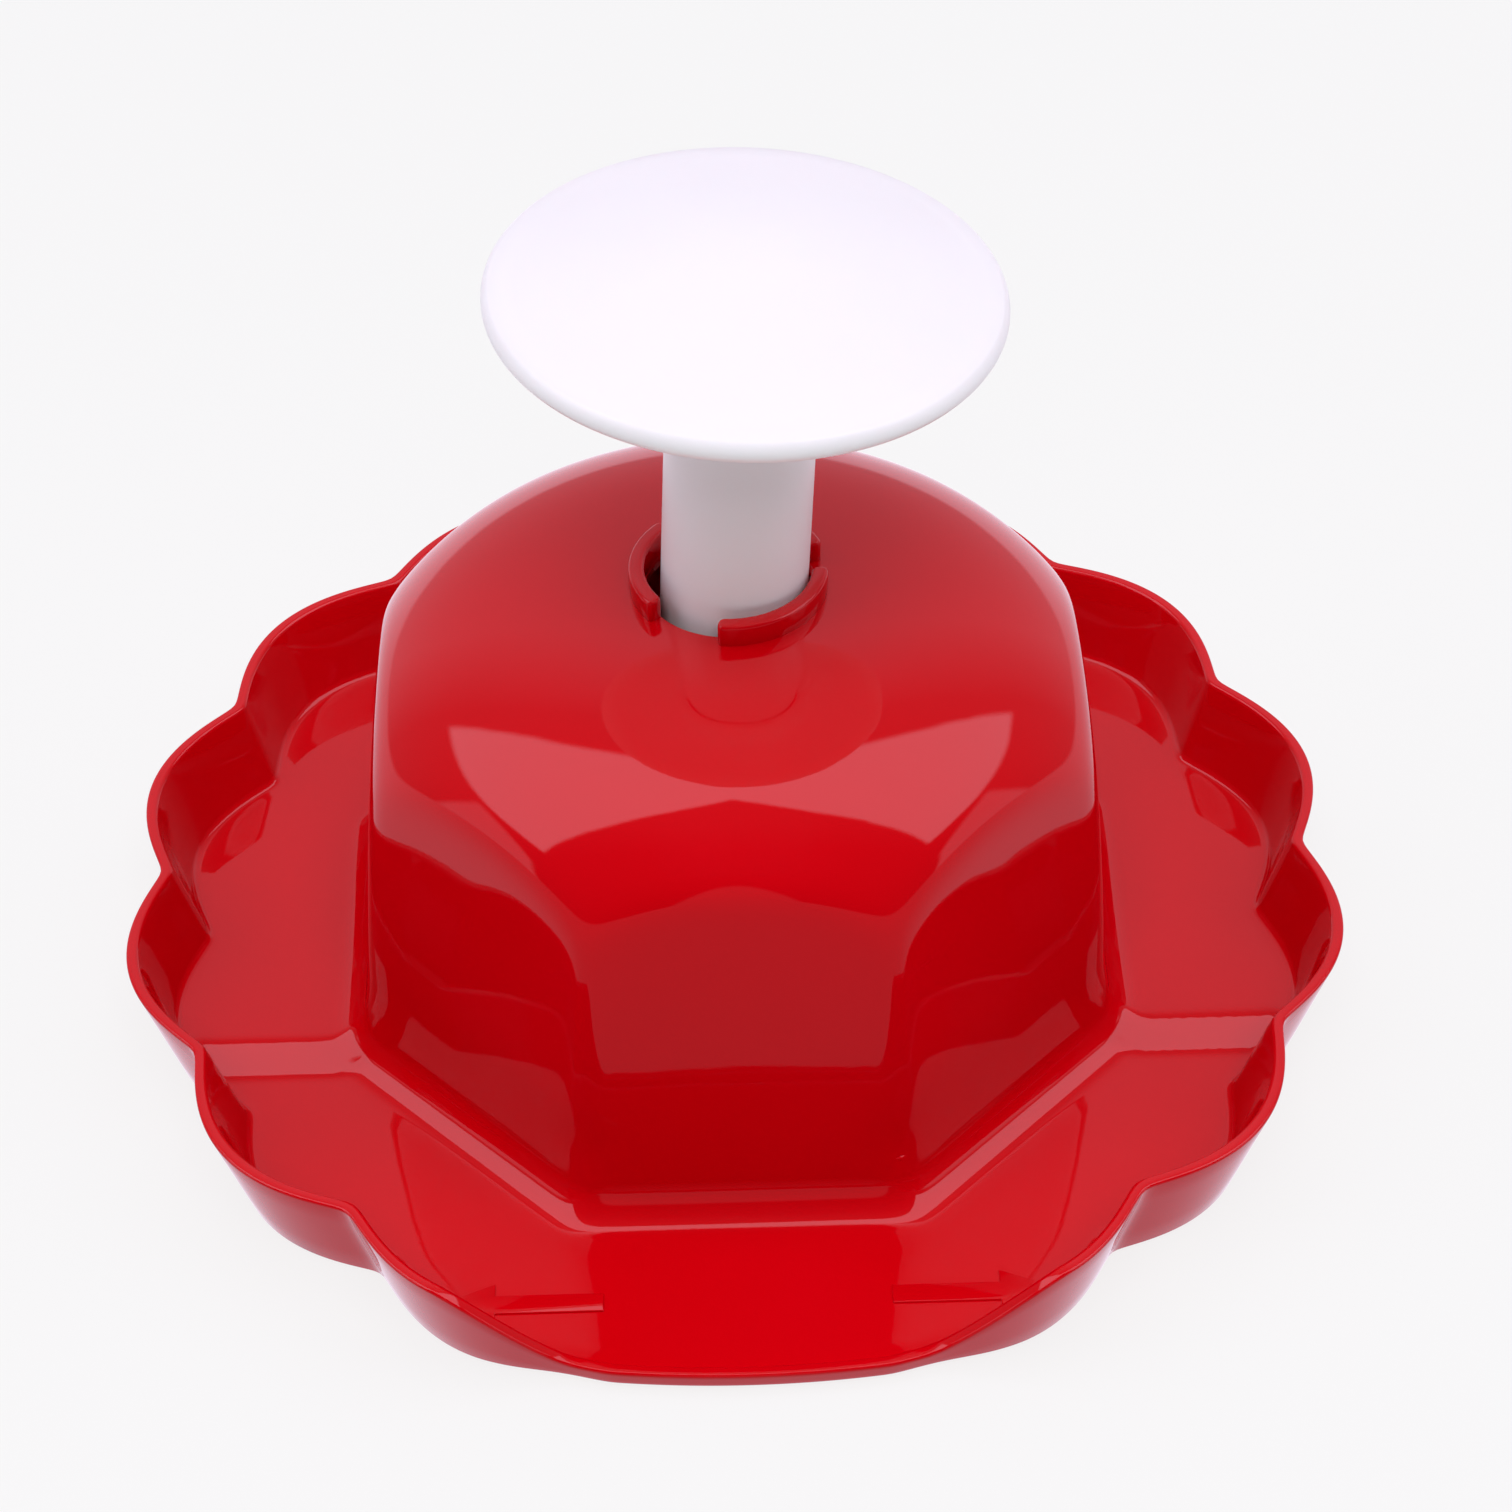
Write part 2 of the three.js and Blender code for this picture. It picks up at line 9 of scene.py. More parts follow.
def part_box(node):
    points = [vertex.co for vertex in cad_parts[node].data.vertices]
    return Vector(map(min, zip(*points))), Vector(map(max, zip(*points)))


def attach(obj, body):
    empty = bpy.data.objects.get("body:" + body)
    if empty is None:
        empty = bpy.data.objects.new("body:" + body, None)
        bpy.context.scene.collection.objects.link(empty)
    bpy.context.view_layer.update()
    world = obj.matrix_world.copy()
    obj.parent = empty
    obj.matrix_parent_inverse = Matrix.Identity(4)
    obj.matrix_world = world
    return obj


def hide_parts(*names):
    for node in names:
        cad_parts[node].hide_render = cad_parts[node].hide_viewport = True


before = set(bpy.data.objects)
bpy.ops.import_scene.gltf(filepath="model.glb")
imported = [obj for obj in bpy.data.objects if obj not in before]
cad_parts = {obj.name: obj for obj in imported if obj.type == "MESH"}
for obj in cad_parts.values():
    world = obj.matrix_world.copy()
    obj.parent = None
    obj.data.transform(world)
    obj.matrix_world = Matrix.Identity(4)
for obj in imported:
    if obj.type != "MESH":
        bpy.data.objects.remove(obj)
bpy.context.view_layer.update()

MM = 0.001

# ---------- Sizes, in millimetres where no frame value gives them ----------

HOUSING_HIGH = np.array(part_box("housing")[1]) / MM
STEM_LOW, STEM_HIGH = (np.array(corner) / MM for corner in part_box("plunger_stem"))
RING_LOW, RING_HIGH = (np.array(corner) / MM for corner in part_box("cutter_ring"))
CLAMP_LOW, CLAMP_HIGH = (np.array(corner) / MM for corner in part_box("wire_clamp_ring"))

# Tray
LOBES = 14
RIM_HEIGHT = 14.0
RIM_VALLEY = 65.4
LOBE_DEPTH = 3.9
LOBE_SOFTNESS = 0.1
DEPTH_STRETCH = 0.03
WALL_FLARE = 0.29
TRAY_WALL = 1.4
FLOOR = 1.5
FLOOR_STEP = 1.7
STEP_FOOT = 21.0
STEP_TOP = 17.0
STEP_SOFTNESS = 0.0375
LIP_RISE = 1.2
LIP_REACH = RIM_VALLEY + LOBE_DEPTH
LIP_ARC = 118.0
LIP_HEIGHT_TURN = (15.5, 27.5)
LIP_OUTLINE_TURN = (12.0, 24.0)
WALL_FILLET = 0.8
RIM_ROUND = 0.4
BASE_ROUND = 0.5

# Well
WELL_HALF = 42.3
WELL_LEAN = math.radians(4.9)
WELL_WALL = 1.6
FOOT_FILLET = 4.0
EDGE_SHARPNESS = 70
CAP_RADIUS = 44.2
CAP_RISE = 33.7
CAP_BASE = 20.5
CAP_POWER = 3.0
MOUTH_ROUND = 0.4

# Collar and arrows
STEM_HOLE = 8.9
HOLE_ROUND = 0.5
COLLAR_WALL = 1.8
COLLAR_ROUND = 0.8
COLLAR_BACKSET = 0.04
COLLAR_SUNK = 0.2
COLLAR_TOP = HOUSING_HIGH[2]
COLLAR_LIPS = [(18, 100), (133, 218), (262, 356)]
ARROW_TIP = 33.0
ARROW_TAIL = 15.2
ARROW_HEAD = (6.4, 5.6)
ARROW_SHAFT = 2.4
ARROW_FROM_AXIS = 54.8
ARROW_RISE = 0.25
ARROW_SUNK = 0.3

# Plunger, along its own leaning axis from the top of the collar
PLUNGER_LEAN = math.radians(2.5)
PLUNGER_PLAY = 0.7
STEM_RADIUS = (STEM_HIGH[1] - STEM_LOW[1]) / 2
STEM_WALL = 1.8
HEAD_RADIUS = 26.5
HEAD_RIM = 34.1
HEAD_CROWN = 5.2
HEAD_SHELL = 2.0
HEAD_EDGE = 2.8
HEAD_LIP = 3.2
SOCKET_WALL = 2.0
SOCKET_LENGTH = 11.0
STEM_BOSS = 9.0
GAP = 0.3

# Cutter
RING_OUTER = CLAMP_HIGH[0]
RING_INNER = RING_OUTER - 4.2
WIRES = 10
WIRE_MARGIN = 6.4
WIRE_PITCH = 2 * (RING_INNER - WIRE_MARGIN) / (WIRES - 1)
WIRE_RADIUS = 0.35
WIRE_END = RING_OUTER - 1.3
WIRE_LEVEL = RING_HIGH[2] - WIRE_RADIUS
WIRE_PLACES = [(index - (WIRES - 1) / 2) * WIRE_PITCH for index in range(WIRES)]
SCREW_CIRCLE = (RING_INNER + RING_OUTER) / 2
SCREW_TURNS = [math.pi / 2 * index for index in range(4)]
CLAMP_SCREW = 0.8
CLAMP_SCREW_RADIUS = 1.4
CLAMP_SCREW_HEAD = 1.1
CLAMP_SCREW_DEPTH = 4.2
CLAMP_SCREW_GAP = 0.2
CLAMP_SCREW_SINK = 0.1
LUGS = 4
LUG_REACH = 2.0
LUG_SUNK = 0.6
LUG_HEIGHT = 2.0
LUG_UP = 2.4
LUG_HALF = 6.0
LUG_ANGLE = 22.5

# Pusher, along the plunger's axis
PUSHER_RADIUS = RING_INNER + 2.1
PUSHER_PLATE = 2.0
PUSHER_HUB = 11.0
PUSHER_HUB_RISE = 1.8
PUSHER_BOSS = 7.0
RIB_DEPTH = 2.5
RIB_WIDTH = 2.6
RIB_MARGIN = 7.5
RIB_SUNK = 0.8
REST_GAP = 0.5
PUSHER_BOTTOM = CLAMP_HIGH[2] + REST_GAP + PUSHER_RADIUS * math.sin(PLUNGER_LEAN) - COLLAR_TOP
PUSHER_HUB_TOP = PUSHER_BOTTOM + PUSHER_PLATE + PUSHER_HUB_RISE
RECESS_DEPTH = 1.2
RECESS_TOP = PUSHER_BOTTOM + RECESS_DEPTH
WASHER = 0.8
WASHER_RADIUS = 4.4
SCREW_SHANK = 2.0
SCREW_HEAD = 1.8
SCREW_HEAD_RADIUS = 3.9
SCREW_LENGTH = 12.0
SCREW_HEAD_TOP = RECESS_TOP - 2 * GAP - WASHER
STEM_BOTTOM = PUSHER_HUB_TOP + GAP

# Bayonet tabs inside the well
TAB_THICKNESS = 1.9
TAB_STOP = 2.0
TAB_INNER = RING_OUTER + GAP + 0.1
TAB_SUNK = 0.4

# Camera: azimuth, elevation and roll in degrees, the distance in metres, the rest in millimetres
CAMERA_TURN = (-1.31, 41.81, -0.635)
CAMERA_AIM = (2.68, -1.09, 30)
CAMERA_DISTANCE = 0.4
CAMERA_SENSOR = 36
CAMERA_LENS = 85.77

# Studio sky: brightness from the front (-1) to the back (1), of the table and of the walls
TABLE_LIGHT = [(-0.8, 0.28), (-0.5, 0.3), (-0.25, 0.42), (0.0, 0.6), (0.5, 0.9), (0.85, 1.1)]
WALL_LIGHT = [(-0.9, 0.02), (-0.45, 0.05), (0.0, 0.18), (0.45, 0.28), (0.7, 0.68), (0.95, 0.5)]
TINT = (1.0, 0.91, 1.05)

# Edges of the sky's zones: where each lies along its direction, and how soft it is
HORIZON = (0.0, 0.03)
SCREEN_SIDE = (0.87, 0.02)
SCREEN_FRONT = (-0.42, 0.02)
SCREEN_BACK = (-0.03, 0.03)
SCREEN_LIGHT = 0.88
PATCH_NARROWING = 3.3
PATCH_EDGE = (0.5, 0.06)
PATCH_BACK = (0.0, 0.1)
PATCH_LIGHT = 0.28
ARCH_FRONT = (-0.03, 0.015)
ARCH_FRONT_SPREAD = 0.47
ARCH_BACK = (0.2, 0.02)
ARCH_BACK_SPREAD = 0.25
ARCH_FOOT = (0.54, 0.02)
ARCH_LIGHT = 2.1

# Floor and fill light, in metres and watts
FLOOR_CORNERS = [(-8, -8), (8, -8), (8, 8), (-8, 8)]
FLOOR_DROP = -0.0002
FLOOR_TONES = (0.1, 0.102)
FLOOR_GLOW = 0.82
FILL_SIZE = (0.7, 0.7)
FILL_PLACE = (0, -0.56, 1.06)
FILL_TARGET = (0, 0, 0.03)
FILL_POWER = 7.5

# Mesh: points round the housing, and limits for rounding a corner
FACETS = 560

NEARLY_STRAIGHT = math.radians(87)
MOST_OF_HALF = 0.48

# ---------- Mesh helpers ----------


def make_object(name, vertices, faces):
    mesh = bpy.data.meshes.new(name)
    mesh.from_pydata([tuple(v) for v in np.asarray(vertices) * MM], [], faces)
    mesh.validate()
    mesh.shade_smooth()
    piece = bpy.data.objects.new(name, mesh)
    bpy.context.scene.collection.objects.link(piece)
    return piece


def grid_faces(ring_count, step_count, close_rings):
    """Quads between rings of points. The steps of a ring always close, the rings on request."""
    faces = []
    for ring in range(ring_count if close_rings else ring_count - 1):
        below = ring * step_count
        above = ((ring + 1) % ring_count) * step_count
        for step in range(step_count):
            beside = (step + 1) % step_count
            faces.append((below + step, above + step, above + beside, below + beside))
    return faces


def corner_curve(start, corner, end, steps):
    """Points of a round stretch from start to end that bends towards the corner."""
    points = []
    for step in range(steps + 1):
        share = step / steps
        point = start * (1 - share) ** 2 + corner * 2 * share * (1 - share) + end * share**2
        points.append(tuple(point))
    return points


def fillet_profile(corners, steps=5):
    """Rounds a list of (radius, height, rounding) corners. The first and the last stay."""
    points = [corners[0][:2]]
    for before, corner, after in zip(corners, corners[1:], corners[2:]):
        here = np.array(corner[:2])
        towards = [np.array(end[:2]) - here for end in (before, after)]
        lengths = [np.linalg.norm(way) for way in towards]
        way_in, way_out = (way / length for way, length in zip(towards, lengths))
        half = math.acos(max(-1.0, min(1.0, float(way_in @ way_out)))) / 2
        if corner[2] == 0 or half > NEARLY_STRAIGHT:
            points.append(tuple(here))
            continue
        reach = min(corner[2] / math.tan(half), MOST_OF_HALF * min(lengths))
        points += corner_curve(here + way_in * reach, here, here + way_out * reach, steps)
    points.append(corners[-1][:2])
    return points


def turned(name, profile, segments=96, closed=False):
    """A turned piece. An open profile starts and ends on the axis."""
    rings = profile if closed else profile[1:-1]
    vertices = []
    for radius, height in rings:
        for step in range(segments):
            angle = 2 * math.pi * step / segments
            vertices.append((radius * math.cos(angle), radius * math.sin(angle), height))
    faces = grid_faces(len(rings), segments, closed)
    if not closed:
        for pole, ring in ((profile[0], 0), (profile[-1], len(rings) - 1)):
            centre = len(vertices)
            vertices.append((0, 0, pole[1]))
            for step in range(segments):
                beside = (step + 1) % segments
                a, b = ring * segments + step, ring * segments + beside
                faces.append((centre, a, b) if ring == 0 else (centre, b, a))
    return make_object(name, vertices, faces)


def prism(name, outline, bottom, top):
    """An upright block over an outline of (x, y) points."""
    count = len(outline)
    vertices = [(x, y, bottom) for x, y in outline] + [(x, y, top) for x, y in outline]
    faces = [tuple(reversed(range(count))), tuple(range(count, 2 * count))]
    for step in range(count):
        beside = (step + 1) % count
        faces.append((step, beside, count + beside, count + step))
    return make_object(name, vertices, faces)


def arc_outline(inner, outer, start, end, steps=24):
    turns = [math.radians(start + (end - start) * step / steps) for step in range(steps + 1)]
    out = [(outer * math.cos(turn), outer * math.sin(turn)) for turn in turns]
    back = [(inner * math.cos(turn), inner * math.sin(turn)) for turn in reversed(turns)]
    return out + back


def rounded_outline(outline, sizes, steps=6):
    """Rounds some corners of a closed outline. sizes gives the rounding of each by its index."""
    points = []
    for index, corner in enumerate(outline):
        if index not in sizes:
            points.append(corner)
            continue
        here = np.array(corner)
        beside = (outline[index - 1], outline[(index + 1) % len(outline)])
        ways = [np.array(point) - here for point in beside]
        start, end = (here + way * min(1, sizes[index] / np.linalg.norm(way)) for way in ways)
        points += corner_curve(start, here, end, steps)
    return points


def bake_modifiers(piece):
    """Turns the piece's modifiers into mesh."""
    graph = bpy.context.evaluated_depsgraph_get()
    mesh = bpy.data.meshes.new_from_object(piece.evaluated_get(graph))
    piece.modifiers.clear()
    piece.data = mesh


def cut_away(piece, tools):
    for tool in tools:
        modifier = piece.modifiers.new("cut", "BOOLEAN")
        modifier.operation = "DIFFERENCE"
        modifier.solver = "EXACT"
        modifier.object = tool
        bake_modifiers(piece)
        bpy.data.objects.remove(tool)


def soften(piece, width, segments=3, angle=35):
    """Rounds the edges sharper than an angle, and keeps the flats flat."""
    modifier = piece.modifiers.new("rounded edges", "BEVEL")
    modifier.width = width * MM
    modifier.segments = segments
    modifier.limit_method = "ANGLE"
    modifier.angle_limit = math.radians(angle)
    modifier.harden_normals = True
    bake_modifiers(piece)
    piece.data.set_sharp_from_angle(angle=math.radians(50))


def join(name, pieces):
    """Makes one object of several, as one moulding."""
    first = pieces[0]
    with bpy.context.temp_override(
        active_object=first, selected_editable_objects=pieces, selected_objects=pieces
    ):
        bpy.ops.object.join()
    first.name = name
    return first


# ---------- Materials ----------


class Shader:
    """A Principled material with the few node links that a moulded or drawn surface needs."""

    def __init__(self, name):
        self.material = bpy.data.materials.new(name)
        self.material.use_nodes = True
        self.nodes = self.material.node_tree.nodes
        self.links = self.material.node_tree.links
        self.surface = self.nodes["Principled BSDF"]
        self.place = self.nodes.new("ShaderNodeTexCoord").outputs["Object"]

    def set(self, **values):
        for label, value in values.items():
            self.surface.inputs[label.replace("_", " ")].default_value = value

    def noise(self, scale, detail=3.0, stretch=(1, 1, 1)):
        mapping = self.nodes.new("ShaderNodeMapping")
        mapping.inputs["Scale"].default_value = stretch
        self.links.new(self.place, mapping.inputs["Vector"])
        noise = self.nodes.new("ShaderNodeTexNoise")
        noise.inputs["Scale"].default_value = scale
        noise.inputs["Detail"].default_value = detail
        self.links.new(mapping.outputs["Vector"], noise.inputs["Vector"])
        return noise.outputs["Fac"]

    def ramp(self, value, low, high, stops=(0.3, 0.7)):
        ramp = self.nodes.new("ShaderNodeValToRGB")
        for stop, position, colour in zip(ramp.color_ramp.elements, stops, (low, high)):
            stop.position = position
            stop.color = colour if len(colour) == 4 else (*colour, 1)
        self.links.new(value, ramp.inputs["Fac"])
        return ramp.outputs["Color"]

    def spread(self, value, low, high):
        limits = self.nodes.new("ShaderNodeMapRange")
        limits.inputs["To Min"].default_value = low
        limits.inputs["To Max"].default_value = high
        self.links.new(value, limits.inputs["Value"])
        return limits.outputs["Result"]

    def bump(self, heights, strength, distance):
        """Adds one bump on top of another, from coarse to fine."""
        normal = None
        for height, weight, reach in zip(heights, strength, distance):
            bump = self.nodes.new("ShaderNodeBump")
            bump.inputs["Strength"].default_value = weight
            bump.inputs["Distance"].default_value = reach
            self.links.new(height, bump.inputs["Height"])
            if normal is not None:
                self.links.new(normal, bump.inputs["Normal"])
            normal = bump.outputs["Normal"]
        self.links.new(normal, self.surface.inputs["Normal"])

    def link(self, value, label):
        self.links.new(value, self.surface.inputs[label])


def red_plastic():
    shader = Shader("glossy_red_plastic")
    shader.set(IOR=1.46)
    shader.link(shader.ramp(shader.noise(35), (0.55, 0.0, 0.003), (0.57, 0.0, 0.004)), "Base Color")
    shader.link(shader.spread(shader.noise(160, 4), 0.02, 0.05), "Roughness")
    shader.bump([shader.noise(90, 2), shader.noise(2600, 2)], [0.05, 0.02], [0.0006, 0.00005])
    return shader.material


def white_plastic():
    shader = Shader("white_plastic")
    shader.set(IOR=1.49, Subsurface_Weight=0.15, Subsurface_Radius=(0.004, 0.003, 0.003))
    shader.link(shader.ramp(shader.noise(45), (0.83, 0.83, 0.85), (0.85, 0.85, 0.87)), "Base Color")
    shader.link(shader.spread(shader.noise(220, 4), 0.26, 0.36), "Roughness")
    shader.bump([shader.noise(70, 2), shader.noise(3200, 3)], [0.05, 0.05], [0.0006, 0.00005])
    return shader.material


def drawn_steel():
    shader = Shader("stainless_steel")
    shader.set(Metallic=1.0)
    fine = shader.noise(900, 4, (1, 0.04, 1))
    shader.link(shader.ramp(fine, (0.52, 0.53, 0.55), (0.68, 0.69, 0.70)), "Base Color")
    shader.link(shader.spread(fine, 0.16, 0.34), "Roughness")
    shader.bump([fine], [0.15], [0.00004])
    return shader.material


RED = red_plastic()
WHITE = white_plastic()
STEEL = drawn_steel()


def finish_piece(piece, material, body, slot_name, *nodes):
    piece.data.materials.clear()
    piece.data.materials.append(material)
    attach(piece, body)
    if nodes:
        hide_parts(*nodes)


# ---------- Tray outline, the same formulas as the CAD ----------


def smoothstep(value, low, high):
    share = np.clip((value - low) / (high - low), 0, 1)
    return share * share * (3 - 2 * share)


def solve(low, high, is_past):
    """Halves the span at every angle at once until it closes on the surface."""
    low, high = np.array(low, float), np.array(high, float)
    for _ in range(40):
        middle = (low + high) / 2
        past = is_past(middle)
        high = np.where(past, middle, high)
        low = np.where(past, low, middle)
    return (low + high) / 2


ANGLES = 2 * np.pi * np.arange(FACETS) / FACETS
FROM_FRONT = np.degrees(np.arccos(np.clip(np.abs(np.sin(ANGLES)), 0, 1)))


def lip_outline():
    turn = np.radians(FROM_FRONT)
    offset = LIP_ARC - LIP_REACH
    return np.sqrt(LIP_ARC**2 - (offset * np.sin(turn)) ** 2) - offset * np.cos(turn)


def lobed_outline():
    wave = np.sin(LOBES / 2 * ANGLES)
    lobe = np.sqrt(wave**2 + LOBE_SOFTNESS**2) - LOBE_SOFTNESS
    lobe /= math.sqrt(1 + LOBE_SOFTNESS**2) - LOBE_SOFTNESS
    return (RIM_VALLEY + LOBE_DEPTH * lobe) * (1 + DEPTH_STRETCH * np.sin(ANGLES) ** 2)


LOBED = smoothstep(FROM_FRONT, *LIP_OUTLINE_TURN)
OUTLINE = LOBED * lobed_outline() + (1 - LOBED) * lip_outline()


def floor_level(radius):
    """Top of the tray floor: low at the front, with a rounded step up to the sides."""
    slope = (STEP_FOOT + radius * np.sin(ANGLES)) / (STEP_FOOT - STEP_TOP)
    above = np.logaddexp(0, slope / STEP_SOFTNESS)
    beyond = np.logaddexp(0, (slope - 1) / STEP_SOFTNESS)
    return FLOOR + FLOOR_STEP * (above - beyond) * STEP_SOFTNESS


LIP_LEVEL = floor_level(LIP_REACH) + LIP_RISE
RIM = LIP_LEVEL + (RIM_HEIGHT - LIP_LEVEL) * smoothstep(FROM_FRONT, *LIP_HEIGHT_TURN)


def wall_outside(height):
    return OUTLINE - WALL_FLARE * (RIM_HEIGHT - height)


def wall_inside(height):
    return wall_outside(height) - TRAY_WALL


# ---------- Well surface ----------

FLATS = 2 * np.pi * np.arange(8) / 8
FACING = np.clip(np.cos(ANGLES[:, None] - FLATS[None, :]), 0, None)
OCTAGON = (FACING**EDGE_SHARPNESS).sum(axis=1) ** (-1 / EDGE_SHARPNESS)


def half_width(height, inset):
    return WELL_HALF - inset - height * math.tan(WELL_LEAN)


def cap_reach(radius, height, inset):
    across = radius / (CAP_RADIUS - inset)
    up = np.maximum(0, height - CAP_BASE) / (CAP_RISE - inset)
    return (across**CAP_POWER + up**CAP_POWER) ** (1 / CAP_POWER)


def outside_well(radius, height, inset):
    flats = radius / (OCTAGON * half_width(height, inset))
    return flats**EDGE_SHARPNESS + cap_reach(radius, height, inset) ** EDGE_SHARPNESS > 1


def well_radius(height, inset):
    top = np.full(FACETS, WELL_HALF * 1.2)
    return solve(0 * top, top, lambda radius: outside_well(radius, height, inset))


def well_level(radius, inset):
    base = np.full(FACETS, CAP_BASE)
    return solve(base, base + CAP_RISE, lambda height: outside_well(radius, height, inset))


def crease_level(inset):
    base = np.full(FACETS, CAP_BASE)
    return solve(
        base,
        base + CAP_RISE,
        lambda height: cap_reach(OCTAGON * half_width(height, inset), height, inset) > 1,
    )


def flat_rings(inset, bottom, shares):
    rings = []
    crease = crease_level(inset)
    for share in shares:
        height = bottom + (crease - bottom) * share
        rings.append((well_radius(height, inset), height))
    return rings


def cap_rings(inset, inner, shares):
    rings = []
    at_crease = well_radius(crease_level(inset), inset)
    for share in shares:
        radius = inner + (at_crease - inner) * share
        rings.append((radius, well_level(radius, inset)))
    return rings


def eased(count, power):
    """Shares from 0 to nearly 1, closer together towards 1."""
    return [1 - (1 - step / count) ** power for step in range(count)]


# ---------- Housing ----------

QUARTER = [math.radians(18 * step) for step in range(6)]


def housing_rings():
    rings = []
    top = well_level(np.full(FACETS, STEM_HOLE + HOLE_ROUND), 0)
    for turn in reversed(QUARTER):
        radius = STEM_HOLE + HOLE_ROUND * (1 - math.sin(turn))
        rings.append((np.full(FACETS, radius), top - HOLE_ROUND * (1 - math.cos(turn))))
    rings += cap_rings(0, STEM_HOLE + HOLE_ROUND, eased(34, 1.6)[1:])
    foot_end = OCTAGON * (half_width(FLOOR, 0) + FOOT_FILLET)
    foot = floor_level(foot_end)
    rings += reversed(flat_rings(0, foot + FOOT_FILLET, [*eased(20, 1.8)[1:], 1]))
    for step in range(13):
        turn = math.pi / 2 * step / 12
        height = foot + FOOT_FILLET * (1 - math.sin(turn))
        spread = half_width(height, 0) + FOOT_FILLET * (1 - math.cos(turn))
        rings.append((OCTAGON * spread, height))
    wall_foot = floor_level(wall_inside(FLOOR))
    fillet = np.minimum(WALL_FILLET, 0.4 * (RIM - wall_foot))
    floor_start, floor_end = rings[-1][0], wall_inside(wall_foot) - fillet
    for share in np.linspace(0, 1, 12)[1:-1]:
        radius = floor_start + (floor_end - floor_start) * share
        rings.append((radius, floor_level(radius)))
    for turn in QUARTER:
        height = wall_foot + fillet * (1 - math.cos(turn))
        rings.append((wall_inside(height) - fillet * (1 - math.sin(turn)), height))
    for share in (0.25, 0.5, 0.75):
        height = wall_foot + fillet + (RIM - RIM_ROUND - wall_foot - fillet) * share
        rings.append((wall_inside(height), height))
    for turn in QUARTER:
        height = RIM - RIM_ROUND * (1 - math.sin(turn))
        rings.append((wall_inside(height) + RIM_ROUND * (1 - math.cos(turn)), height))
    for turn in reversed(QUARTER):
        height = RIM - RIM_ROUND * (1 - math.sin(turn))
        rings.append((wall_outside(height) - RIM_ROUND * (1 - math.cos(turn)), height))
    for share in (0.75, 0.5, 0.25):
        height = BASE_ROUND + (RIM - RIM_ROUND - BASE_ROUND) * share
        rings.append((wall_outside(height), height))
    for turn in QUARTER:
        height = np.full(FACETS, BASE_ROUND * (1 - math.sin(turn)))
        rings.append((wall_outside(height) - BASE_ROUND * (1 - math.cos(turn)), height))
    base_start, base_end = rings[-1][0], OCTAGON * (half_width(0, WELL_WALL) + MOUTH_ROUND)
    for share in (0.25, 0.5, 0.75):
        rings.append((base_start + (base_end - base_start) * share, np.zeros(FACETS)))
    for turn in QUARTER:
        height = MOUTH_ROUND * (1 - math.cos(turn))
        spread = half_width(height, WELL_WALL) + MOUTH_ROUND * (1 - math.sin(turn))
        rings.append((OCTAGON * spread, np.full(FACETS, height)))
    rings += flat_rings(WELL_WALL, MOUTH_ROUND, [*eased(12, 1.6)[1:], 1])
    rings += reversed(cap_rings(WELL_WALL, STEM_HOLE, eased(22, 1.6)))
    return rings


def housing_shell():
    rings = housing_rings()
    vertices = []
    for radius, height in rings:
        height = np.broadcast_to(height, (FACETS,))
        vertices.append(np.stack([radius * np.cos(ANGLES), radius * np.sin(ANGLES), height], axis=1))
    faces = [tuple(reversed(face)) for face in grid_faces(len(rings), FACETS, True)]
    return make_object("housing_shell", np.concatenate(vertices), faces)


def collar_lip(index, start, end):
    steps = 12
    inner, outer = STEM_HOLE + COLLAR_BACKSET, STEM_HOLE + COLLAR_WALL
    outline = arc_outline(inner, outer, start, end, steps)
    ends = {corner: COLLAR_ROUND for corner in (0, steps, steps + 1, 2 * steps + 1)}
    outline = rounded_outline(outline, ends)
    bottom = CAP_BASE + CAP_RISE - WELL_WALL + COLLAR_SUNK
    lip = prism(f"collar_lip_{index}", outline, bottom, COLLAR_TOP)
    soften(lip, 0.45, 5, 50)
    return lip


def arrow(name, side):
    neck = ARROW_TIP - ARROW_HEAD[0]
    wide, narrow = ARROW_HEAD[1] / 2, ARROW_SHAFT / 2
    half = [(ARROW_TIP, 0), (neck, wide), (neck, narrow), (ARROW_TAIL, narrow)]
    outline = half + [(x, -y) for x, y in reversed(half[1:])]
    outline = [(side * x, y - ARROW_FROM_AXIS) for x, y in outline]
    if side < 0:
        outline.reverse()
    plate = prism(name, outline, FLOOR - ARROW_SUNK, FLOOR + ARROW_RISE)
    soften(plate, 0.1, 3)
    return plate


def inside_corner(start, end, inner):
    """Outline between an arc and the inside of the well, a little into its wall."""
    steps = 12
    turns = [math.radians(start + (end - start) * step / steps) for step in range(steps + 1)]
    reach = WELL_HALF - WELL_WALL + TAB_SUNK
    wall = []
    for turn in turns:
        facing = max(math.cos(turn - flat) for flat in FLATS)
        wall.append((reach / facing * math.cos(turn), reach / facing * math.sin(turn)))
    back = [(inner * math.cos(turn), inner * math.sin(turn)) for turn in reversed(turns)]
    return wall + back


def bayonet_tab(index):
    middle = LUG_ANGLE + 360 * index / LUGS
    lug_low = RING_LOW[2] + LUG_UP
    lug_high = lug_low + LUG_HEIGHT
    low, high = lug_low - GAP - TAB_THICKNESS, lug_high + GAP + TAB_THICKNESS
    start = middle - LUG_HALF - REST_GAP
    stop = middle + LUG_HALF + REST_GAP
    end = stop + TAB_STOP
    blocks = (
        (start, end, low, lug_low - GAP),
        (start, end, lug_high + GAP, high),
        (stop, end, low, high),
    )
    parts = []
    for block_start, block_end, bottom, top in blocks:
        part = prism("tab", inside_corner(block_start, block_end, TAB_INNER), bottom, top)
        soften(part, 0.25, 3)
        parts.append(part)
    return join(f"bayonet_tab_{index + 1}", parts)


